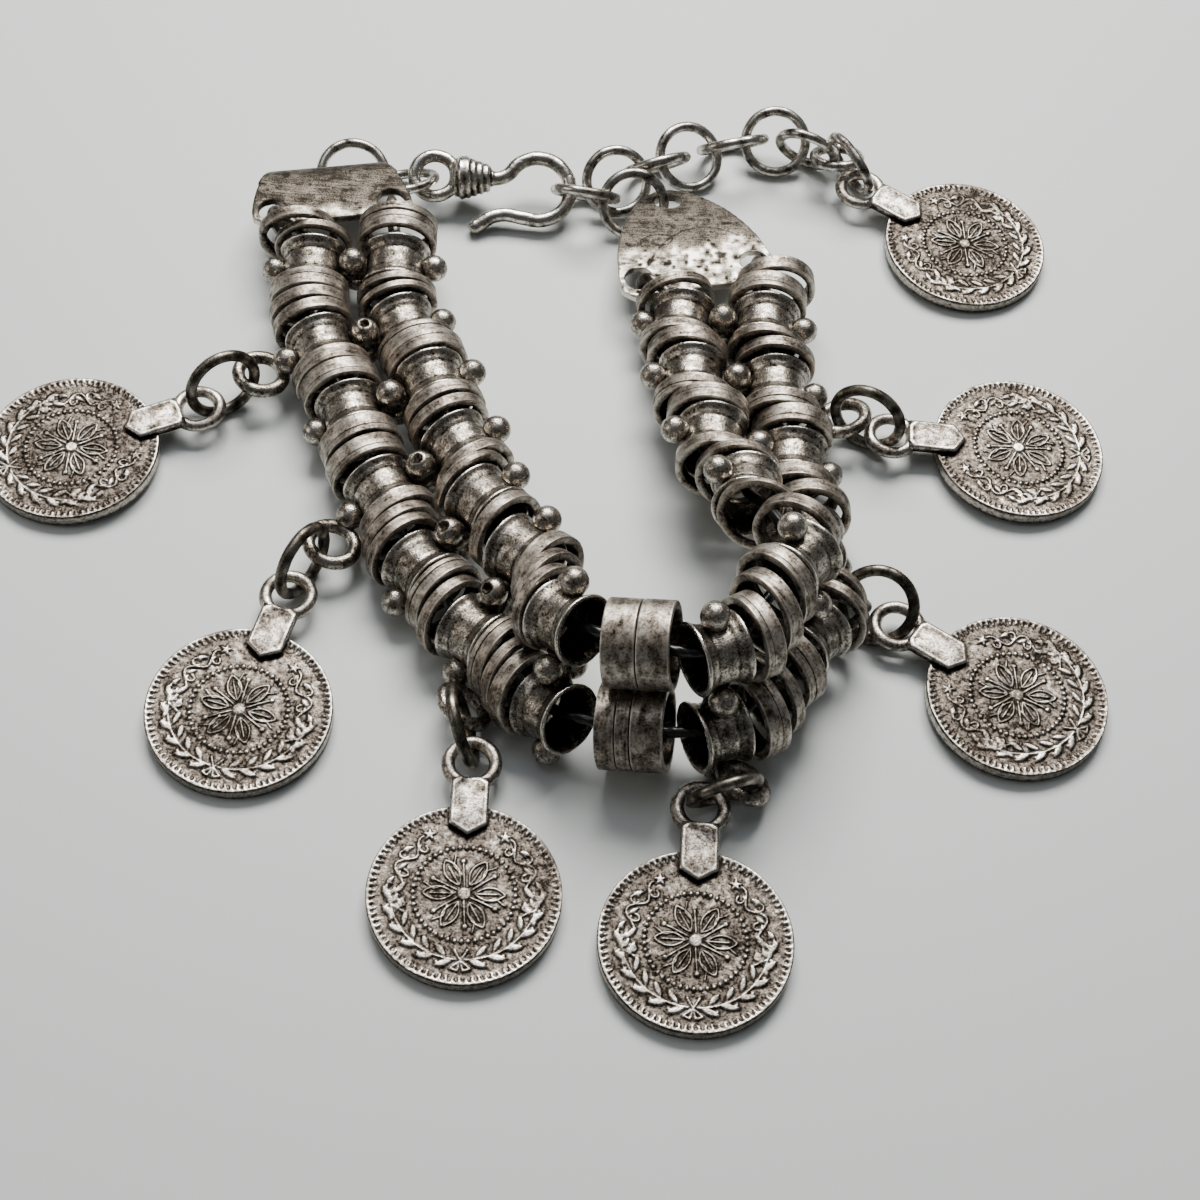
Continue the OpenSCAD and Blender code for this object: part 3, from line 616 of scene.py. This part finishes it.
# Wire work. The end loops, jump rings and chain links are drawn silver wire bent round a mandrel;
# each follows the middle line of its CAD solid. Jump rings and end loops are left nearly black,
# and the chain is rubbed clean.
WIRE_SIDES = 14
WIRE_UNEVEN = 0.05
WIRE_WAVES = 1.4
DARK_NODES = ["end_loop_%d" % i for i in range(1, 5)] + ["jump_ring_%d" % i for i in range(1, 7)]
CHAIN_NODES = (["ring_left", "link_left", "link_hook", "ring_right"]
               + ["chain_link_%d" % i for i in range(1, 8)] + ["coin_link_7"])


def wire_tree():
    """A closed line becomes a wire, faintly uneven, as bent by hand."""
    tree, start = new_tree("bent_wire", {
        "Line": "Geometry", "Wire radius": "Float", "Sides": "Int", "Unevenness": "Float",
        "Metal": "Material"})
    line = add(tree, "GeometryNodeMeshToCurve", {"Mesh": start["Line"]})
    section = add(tree, "GeometryNodeCurvePrimitiveCircle", {
        "Resolution": start["Sides"], "Radius": start["Wire radius"]})
    drawn = add(tree, "GeometryNodeCurveToMesh", {
        "Curve": line.outputs["Curve"], "Profile Curve": section.outputs["Curve"], "Fill Caps": True})
    waves = add(tree, "ShaderNodeTexNoise", {
        "Vector": add(tree, "GeometryNodeInputPosition").outputs["Position"],
        "Scale": 1 / (WIRE_WAVES * MM), "Detail": 1.0})
    centred = add(tree, "ShaderNodeMath", {0: waves.outputs["Fac"], 1: 0.5},
                  operation="SUBTRACT").outputs[0]
    amount = add(tree, "ShaderNodeMath", {0: centred, 1: start["Unevenness"]}, operation="MULTIPLY")
    offset = add(tree, "ShaderNodeVectorMath", {
        0: add(tree, "GeometryNodeInputNormal").outputs["Normal"], "Scale": amount.outputs[0],
    }, operation="SCALE")
    moved = add(tree, "GeometryNodeSetPosition", {
        "Geometry": drawn.outputs["Mesh"], "Offset": offset.outputs["Vector"]})
    # What stands proud is rubbed brighter.
    level = add(tree, "ShaderNodeMath", {0: centred, 1: 1.6, 2: 0.55}, operation="MULTIPLY_ADD")
    worn = add(tree, "GeometryNodeStoreNamedAttribute", {
        "Geometry": moved.outputs["Geometry"], "Name": "wear", "Value": level.outputs[0],
    }, data_type="FLOAT", domain="POINT")
    real = add(tree, "GeometryNodeRealizeInstances", {"Geometry": worn.outputs["Geometry"]})
    metalled = add(tree, "GeometryNodeSetMaterial", {
        "Geometry": real.outputs["Geometry"], "Material": start["Metal"]})
    add(tree, "NodeGroupOutput", {"Geometry": metalled.outputs["Geometry"]})
    return tree


def wire_line(node):
    """Middle line and thickness of a CAD ring or link: a circle, or two half circles and straights."""
    points = np.array([v.co[:] for v in frame["nodes"][node].data.vertices])
    points = np.unique(points.round(7), axis=0)
    centre = (points.min(0) + points.max(0)) / 2
    for _ in range(2):
        _, axes = np.linalg.eigh(np.cov((points - centre).T))
        local = (points - centre) @ axes[:, ::-1]
        centre = centre + axes[:, ::-1] @ ((local.min(0) + local.max(0)) / 2)
    local = (points - centre) @ axes[:, ::-1]
    length, breadth, thickness = local.max(0) - local.min(0)
    half_width = (breadth - thickness) / 2
    straight = (length - thickness) / 2 - half_width
    steps = 40
    line = []
    for end in (1, -1):
        for i in range(steps + 1):
            angle = math.pi * (i / steps - 0.5)
            line.append((end * (straight + half_width * math.cos(angle)),
                         end * half_width * math.sin(angle), 0.0))
    if straight < 0.02 * MM:
        # A circle has no straights, so the half circles' shared ends are taken once.
        line = line[:steps] + line[steps + 1:-1]
    return centre + np.array(line) @ axes[:, ::-1].T, thickness


# Blackened drawn wire: even dark brown-grey with a low sheen.
dark_wire = aged_silver("blackened_drawn_wire", "#1b1815", "#4f4a43", "#9a9388", patch=1.1, pit=0.14,
                        shine=0.28, dull=0.5, pit_depth=0.02)
# Chain wire rubbed clean: pale silver with a little grey tarnish in patches.
chain_wire = aged_silver("rubbed_drawn_wire", "#2a2622", "#98928a", "#ece8e0", patch=1.2, pit=0.16,
                         shine=0.18, dull=0.42, pit_depth=0.02)
bent_wire = wire_tree()
for nodes, silver, slot in ((DARK_NODES, dark_wire, "dark_wire"), (CHAIN_NODES, chain_wire, "chain")):
    for node in nodes:
        line, thickness = wire_line(node)
        edges = [(i, (i + 1) % len(line)) for i in range(len(line))]
        mesh = bpy.data.meshes.new("line")
        mesh.from_pydata(line.tolist(), edges, [])
        values = {"Wire radius": thickness / 2, "Sides": WIRE_SIDES, "Unevenness": WIRE_UNEVEN * MM,
                  "Metal": silver}
        keep(grown(mesh, bent_wire, values, "wire_" + node), slot, node)

# End plates. Sheet silver, sawn to a rounded shield, drilled, bent and scoured with an abrasive.
# The half by the strands is hammered, pitted and rubbed bright; the far half keeps its scour
# lines, and on the right plate a scratched scroll under an arch.
PLATE_VOXEL = 0.15
PLATE_SOFTENING = 3
# Node, pose, how far along it the hammering reaches, and how worn the rest is.
PLATES = [("plate_left", (-33, 45, 5.6, 104, 0, 0), 0.2, 0.21),
          ("plate_right", (7.3, 41.2, 4.5, 108, 0, 0), 4.2, 0.26)]
SCROLL = [(5.1 + 1.3 * math.sin(a) * (1 - 0.1 * a), 2.9 + 2.2 * math.cos(a) * (1 - 0.1 * a))
          for a in np.linspace(0, 8.2, 40)]
ARCH = [(6.4 - 0.11 * (y + 1.5) ** 2, y) for y in np.linspace(-6, 5.6, 20)]
SCRATCH_HALF = 0.16
# Across the plate, slightly askew, with the lines ten times as long as they are wide.
SCOUR = np.array([[1, 0.25, 0], [-0.25, 1, 0], [0, 0, 1]])
SCOUR_STRETCH = np.array([1, 0.1, 1])


def remade(node, voxel, softening):
    """A CAD solid on an even fine net, its corners softened: points and normals in millimetres."""
    draft = joined_draft(node)
    draft.data.transform(Matrix.Scale(1 / MM, 4))
    remesh = draft.modifiers.new("net", "REMESH")
    remesh.mode = "VOXEL"
    remesh.voxel_size = voxel
    soft = draft.modifiers.new("soft", "SMOOTH")
    soft.factor = 0.5
    soft.iterations = softening
    done = baked(draft, node + "_net")
    points, normals = np.empty((2, len(done.data.vertices) * 3))
    done.data.vertices.foreach_get("co", points)
    done.data.vertices.foreach_get("normal", normals)
    faces = [tuple(p.vertices) for p in done.data.polygons]
    bpy.data.objects.remove(done)
    return points.reshape(-1, 3), normals.reshape(-1, 3), faces


def grain(points, size, seed):
    """Smooth random hills of a size in millimetres, from -1 to 1."""
    cells = 32
    heights = np.random.default_rng(seed).uniform(-1, 1, (cells, cells, cells))
    place = points / size
    cell = np.floor(place).astype(int)
    part = place - cell
    part = part * part * (3 - 2 * part)
    total = 0
    for corner in np.ndindex(2, 2, 2):
        weight = np.prod(np.where(corner, part, 1 - part), 1)
        total = total + weight * heights[tuple(((cell + corner) % cells).T)]
    return total


def to_line(x, y, line):
    """Distance from points to a drawn line."""
    best = np.full(np.shape(x), 99.0)
    for (ax, ay), (bx, by) in zip(line[:-1], line[1:]):
        dx, dy = bx - ax, by - ay
        share = np.clip(((x - ax) * dx + (y - ay) * dy) / (dx * dx + dy * dy + 1e-12), 0, 1)
        best = np.minimum(best, np.hypot(x - ax - share * dx, y - ay - share * dy))
    return best


# Scoured sheet: warm mid grey with fine scour lines and small black pits, pale where hammered.
plate_silver = aged_silver("scoured_sheet_silver", "#26221d", "#746d64", "#d6cfc5", patch=0.8, pit=0.16,
                           shine=0.36, dull=0.62, pit_depth=0.035, streak=0.1, cloudy=0.09)
for node, pose, hammered_to, base in PLATES:
    points, normals, faces = remade(node, PLATE_VOXEL, PLATE_SOFTENING)
    turn, origin = placed(*pose)
    local = (points - origin / MM) @ turn
    facing = np.abs(normals @ turn)
    # The left plate is bent so steeply that its broad side also faces along it. The sawn rim is
    # where the surface turns away from the broad side.
    broad = np.maximum(facing[:, 2], facing[:, 0]) if node == "plate_left" else facing[:, 2]
    rim = np.clip((0.93 - np.clip(broad, 0, 1)) / 0.3, 0, 1)
    hammered = np.clip((hammered_to + 1.2 * grain(points, 2.2, seed=5) - local[:, 0]) / 1.6, 0, 1)
    blows = hammered * grain(points, 0.62, seed=13)
    # Pits of two sizes, deepest among the hammer blows.
    pits = np.clip(grain(points, 0.45, seed=3) * 1.6 - 0.6, 0, 1)
    pits = pits + np.clip(grain(points, 0.9, seed=4) - 0.45, 0, 1)
    scratch = 0
    if node == "plate_right":
        nearest = np.minimum(to_line(local[:, 0], local[:, 1], SCROLL),
                             to_line(local[:, 0], local[:, 1], ARCH))
        scratch = np.clip(1 - nearest / SCRATCH_HALF, 0, 1)
    sunk = 0.13 * hammered * pits + 0.05 * np.clip(pits - 0.5, 0, 1) + 0.05 * scratch
    sunk = sunk + 0.05 * (hammered + blows)
    points = points - normals * sunk[:, None]
    wear = base + 0.4 * hammered - 0.75 * pits * (0.35 + 0.65 * hammered) + 0.4 * rim - 0.25 * scratch
    wear = wear + 0.12 * grain(points, 1.3, seed=8) - 0.42 * blows
    lay = (points - origin / MM) @ (turn @ SCOUR) * SCOUR_STRETCH
    plate = solid(node + "_sheet", points * MM, faces, plate_silver, np.clip(wear, 0, 1), lay * MM)
    keep(plate, "plate", node)

# Hook. One length of thick wire: an eye, a neck wrapped with fine wire and soldered, and a round
# bend whose blunt tip turns away. Its faces are painted lighter the more they turn up, a painted
# highlight from above; the wrapping keeps black in its grooves.
HOOK_POSE = (-11, 52.85, 3.1, 3, 27, 0)
HOOK_VOXEL = 0.13
HOOK_SOFTENING = 9
# In the hook's own frame: the wrapped neck's ends and middle line, its reach, and one turn's width.
NECK_FROM = -9.4
NECK_TO = -4.9
NECK_Y = 0.956
NECK_REACH = 2.6
WRAP_PITCH = 0.72

# Rubbed thick wire: pale silver with small dark dents; the wear it reads on the hook also holds a
# painted highlight on the upturned faces.
hook_silver = aged_silver("rubbed_thick_wire", "#1e1a16", "#8d857b", "#ece7de", patch=1.3, pit=0.2,
                          shine=0.16, dull=0.45, pit_depth=0.03)
points, normals, faces = remade("hook", HOOK_VOXEL, HOOK_SOFTENING)
turn, origin = placed(*HOOK_POSE)
local = (points - origin / MM) @ turn
along, aside = local[:, 0], local[:, 1] - NECK_Y
wrapped = np.clip((along - NECK_FROM) / 0.2, 0, 1) * np.clip((NECK_TO - along) / 0.3, 0, 1)
wrapped = wrapped * (np.hypot(aside, local[:, 2]) < NECK_REACH)
ridge = np.cos(2 * math.pi * (along + 0.08 * aside) / WRAP_PITCH)
# The wrapping is thickest by the eye.
swell = 0.2 * np.clip(1.5 - (along - NECK_FROM) / 4.0, 0.2, 1.5)
dents = 0.05 * grain(points, 1.1, seed=2) - 0.07 * np.clip(grain(points, 0.4, seed=6) * 1.5 - 0.8, 0, 1)
points = points + normals * (dents + wrapped * (swell + 0.07 * ridge))[:, None]
# Rubbing and dents, plus a painted highlight: the term with the normal's height paints faces lighter
# the more they turn up.
wear = 0.52 + 0.24 * normals[:, 2] + wrapped * (0.3 * ridge - 0.12) + 0.15 * grain(points, 1.5, seed=9)
hook = solid("forged_hook", points * MM, faces, hook_silver, np.clip(wear, 0, 1), points * MM)
keep(hook, "hook", "hook")

# Coins. Small struck silver coins, each with a pointed tab of sheet and a wire ring soldered on. The
# die's design is a flower in a ring of beads, an open wreath, a vine, two stars and a toothed rim.
COIN_R = 9.0
COIN_THICK = 1.3
COIN_TILT = 2.5
COIN_SEED = 400
RELIEF = 0.18
# The soldered ring: its mean radius, its wire, and its middle from the coin's.
BAIL_R = 2.25
BAIL_WIRE = 1.3
BAIL_DISTANCE = 13.6
BAIL_RISE = 1.1
# The tab: half its width, how far its point slants back per millimetre across, and how far from
# the coin's middle its point, shoulders and end are.
TAB_HALF = 1.8
TAB_SLANT = 0.62
TAB_POINT = 5.8
TAB_SHOULDER = 6.9
TAB_END = 11.8
# x and y of the centre, heading from the centre to the coin's ring, and the painted shade that
# darkens the coin's face, for coins that lie less in the light.
COINS = [(-55.5, 12, 27, 0.06), (-33.5, -17.5, 78, 0.03), (-10, -35, 93, 0), (11.4, -37.65, 91, 0.03),
         (41.5, -8, 151, 0.04), (42.5, 23, 181, 0.02), (37.25, 51.75, 151, 0.1)]
# Radius, height and wear of the edge and the plain back, from the face's edge to the middle.
COIN_BACK = [
    (8.97, COIN_THICK + RELIEF - 0.07, 0.3), (9.0, COIN_THICK + RELIEF - 0.16, 0.2), (9.0, 1.0, 0.7),
    (9.0, 0.5, 0.75), (9.0, 0.12, 0.3), (8.95, 0.03, 0.6), (8.85, 0.0, 0.7), (8.3, 0.0, 0.6),
    (8.1, 0.06, 0.3), (4.0, 0.06, 0.42), (POLE, 0.06, 0.42),
]
# Inset, height and wear of the tab's outline, from the coin up over its bright bevel to its face.
TAB_ROWS = [(0, 1.15, 0.05), (0, 1.5, 0.15), (0, 1.84, 0.6), (0.08, 1.95, 0.95), (0.3, 2.0, 0.8),
            (0.45, 1.98, 0.42), (0.7, 2.0, 0.5), (1.2, 2.03, 0.64)]
# Radii of the rings of work on the die, and how many beads and teeth it has.
BEAD_RING = 4.7
BEADS = 48
VINE_RING = 6.35
WREATH_RING = 6.6
TEETH = 88


def polar(angle, radius):
    return radius * math.cos(math.radians(angle)), radius * math.sin(math.radians(angle))


def dot(x, y, at, size):
    """Signed distance to a round dot."""
    return np.hypot(x - at[0], y - at[1]) - size


def leaf(x, y, at, heading, length, width):
    """Signed distance to an almond leaf that lies along its heading: below zero inside it."""
    c, s = math.cos(math.radians(heading)), math.sin(math.radians(heading))
    along = (x - at[0]) * c + (y - at[1]) * s
    side = -(x - at[0]) * s + (y - at[1]) * c
    edge = np.abs(side) - width / 2 * (1 - (2 * along / length - 1) ** 2)
    vein = np.clip(0.07 - np.abs(side), 0, 1) * 1.6 * (along > 0.2 * length)
    return np.maximum(edge, 0.02 - along) + vein


def star(x, y, at, size):
    """Signed distance, roughly, to a five-pointed star."""
    fold = np.abs((np.arctan2(y - at[1], x - at[0]) * 5 / (2 * math.pi)) % 1 - 0.5) * 2
    return dot(x, y, at, size * (0.36 + 0.64 * fold ** 1.7))


def struck(radius, angle):
    """Height of the struck face from 0 to 1, and how near each place is to raised work."""
    x, y = radius * np.cos(angle), radius * np.sin(angle)
    marks = [np.abs(radius - 0.42) - 0.2,
             np.abs(radius - BEAD_RING) - 0.1 - 0.13 * np.cos(BEADS * angle),
             8.7 - 0.6 * (0.5 + 0.5 * np.cos(TEETH * angle)) ** 1.6 - radius]
    # Six veined petals in outline, with a stamen and a curl between each two.
    for a in range(0, 360, 60):
        petal = leaf(x, y, polar(a + 30, 0.85), a + 30, 3.1, 1.55)
        marks += [np.abs(petal + 0.12) - 0.1,
                  to_line(x, y, [polar(a + 30, 1.1), polar(a + 30, 3.1)]) - 0.09,
                  to_line(x, y, [polar(a, 0.8), polar(a + 4, 2.9)]) - 0.1,
                  dot(x, y, polar(a + 4, 3.25), 0.24),
                  to_line(x, y, [polar(a + 8, 1.9), polar(a + 22, 2.9), polar(a + 14, 3.9)]) - 0.07]
    for e in (-1, 1):
        # A vine with curls and leaves on the tab's side, and a star by the tab.
        vine = [polar(e * a, VINE_RING + 0.62 * math.sin(a * 0.21)) for a in range(36, 112, 2)]
        marks += [to_line(x, y, vine) - 0.1, star(x, y, polar(e * 31, 6.8), 0.72)]
        for n, a in enumerate(range(42, 110, 15)):
            out = 1 if n % 2 else -1
            curl = [polar(e * (a + 3.4 * math.cos(u)), VINE_RING + out * (0.45 + 0.42 * math.sin(u)))
                    for u in np.linspace(-1.6, 3.4, 9)]
            marks += [to_line(x, y, curl) - 0.09,
                      leaf(x, y, polar(e * (a + 5), VINE_RING - out * 0.3), e * (a + 70), 1.2, 0.5)]
        # A wreath of leaves and berries on the other side, tied with a bow.
        stem = [polar(180 + e * a, 6.5 + 0.003 * a) for a in range(4, 88, 4)]
        bow = [polar(180, WREATH_RING), polar(180 + e * 7, 7.4), polar(180 + e * 2, 7.6),
               polar(180, WREATH_RING)]
        marks += [to_line(x, y, stem) - 0.12, to_line(x, y, bow) - 0.1,
                  to_line(x, y, [polar(180, WREATH_RING), polar(180 + e * 6, 5.6)]) - 0.12]
        for i in range(6):
            a = 180 + e * (14 + 15 * i)
            marks += [leaf(x, y, polar(a - e * 8, WREATH_RING), a + e * 58, 1.9, 0.62),
                      leaf(x, y, polar(a - e * 2, 6.4), a + e * 128, 1.7, 0.56),
                      dot(x, y, polar(a + e * 4, 7.1), 0.16)]
    nearest = np.minimum.reduce(marks)
    return np.clip(0.5 - nearest / 0.12, 0, 1), np.clip(1 - nearest / 0.3, 0, 1)


def coin_disc(rng, painted_shade):
    """The coin as rings of points from the middle of its face, over its edge, to its back's middle."""
    turns = 384
    face = list(np.linspace(0.3, 8.6, 80)) + [8.7, 8.8, 8.88]
    angle = np.arange(turns) * 2 * math.pi / turns
    r, a = np.meshgrid(face, angle, indexing="ij")
    x, y = r * np.cos(a), r * np.sin(a)
    height, near = struck(r, a)
    spots = np.stack([x, y, 0 * r + rng.uniform(0, 30)], -1).reshape(-1, 3)
    rough = grain(spots, 0.5, seed=11).reshape(r.shape)
    soft = grain(spots, 2.6, seed=12).reshape(r.shape)
    rubbed = np.clip(0.78 + 0.4 * soft, 0, 1)
    z = COIN_THICK + RELIEF * height * rubbed + 0.022 * rough * (1 - 0.6 * height) - 0.02
    # The coin's fourth column is subtracted here as painted shade, darkening the whole face of coins
    # that lie less in the light.
    wear = 0.37 - painted_shade + 0.47 * height * rubbed - 0.26 * (near - height) + 0.12 * soft + 0.14 * rough
    # The face is flat under the tab, and black gathers in the corner between the two.
    tab = np.maximum(np.abs(y) - TAB_HALF, TAB_POINT + TAB_SLANT * np.abs(y) - x)
    wear = wear - 0.45 * np.clip(1 - tab / 0.45, 0, 1)
    z = np.where(tab < 0.1, COIN_THICK - 0.02, z)
    back_r, back_z, back_wear = np.repeat(np.array(COIN_BACK).T[:, :, None], turns, 2)
    levels = np.concatenate([np.full((1, turns), z[0].mean()), z, back_z])
    worn = np.concatenate([np.full((1, turns), 0.7), wear, back_wear])
    ring = np.concatenate([[POLE], face, back_r[:, 0]])[:, None]
    points = np.stack([ring * np.cos(angle), ring * np.sin(angle), levels], -1).reshape(-1, 3)
    return points, net(len(ring), turns, False), np.clip(worn, 0, 1).reshape(-1), points


def soldered_tab(rng):
    """The pointed tab: its outline in rows from the coin upward, closed by a point below and above."""
    corners = [(TAB_POINT, 0), (TAB_SHOULDER, TAB_HALF), (11.35, TAB_HALF), (TAB_END, 1.1),
               (TAB_END, -1.1), (11.35, -TAB_HALF), (TAB_SHOULDER, -TAB_HALF), (TAB_POINT, 0)]
    middle, step = 8.9, 0.3
    line = []
    for (ax, ay), (bx, by) in zip(corners[:-1], corners[1:]):
        steps = max(2, int(math.hypot(bx - ax, by - ay) / step))
        line += [(ax + (bx - ax) * k / steps, ay + (by - ay) * k / steps) for k in range(steps)]
    along, across = np.array(line).T
    points, wear = [], []
    for inset, z, level in TAB_ROWS:
        points.append(np.column_stack([middle + (along - middle) * (1 - inset / 3),
                                       across * (1 - inset / TAB_HALF), np.full(len(line), z)]))
        wear += [level] * len(line)
    points = np.concatenate(points + [np.array([[middle, 0, 1.15], [middle, 0, 2.02]])])
    wear = np.array(wear + [0.05, 0.64]) + 0.24 * grain(points + rng.uniform(0, 9), 0.7, seed=21)
    m, n = len(line), len(TAB_ROWS)
    faces = net(n, m, False).tolist()
    faces += [(j, (j + 1) % m, n * m) for j in range(m)]
    faces += [((n - 1) * m + j, (n - 1) * m + (j + 1) % m, n * m + 1) for j in range(m)]
    points[:, 2] += 0.02 * grain(points, 0.7, seed=22) * (points[:, 2] > 1.9)
    return points, faces, np.clip(wear, 0, 1), points


# Struck coin silver: speckled grey-brown ground, relief and teeth rubbed pale, black in the corners.
coin_silver = aged_silver("struck_coin_silver", "#1f1b17", "#6b625a", "#dbd4ca", patch=0.5, pit=0.2,
                          shine=0.26, dull=0.52, pit_depth=0.03, cloudy=0.24)
for number, (x, y, heading, painted_shade) in enumerate(COINS, 1):
    rng = np.random.default_rng(COIN_SEED + number)
    # The edge away from the ring rests on the table.
    rise = COIN_R * math.sin(math.radians(COIN_TILT))
    turn, origin = placed(x, y, rise, heading, 0, COIN_TILT)
    build = Build()
    build.put(coin_disc(rng, painted_shade)).put(soldered_tab(rng))
    bail = hoop(BAIL_R, BAIL_WIRE, rng, wear=0.66, around=72, section=16, flat=0.08)
    build.put(bail, move=(BAIL_DISTANCE, 0, BAIL_RISE))
    # A bead of solder across the tab's end, where the ring is fixed.
    build.put(*rod((11.5, -1.75, 1.42), (11.5, 1.75, 1.42), start_r=0.45, end_r=0.45, wear=0.6))
    keep(build.piece("struck_coin_%d" % number, coin_silver, turn, origin), "coin", "coin_%d" % number)
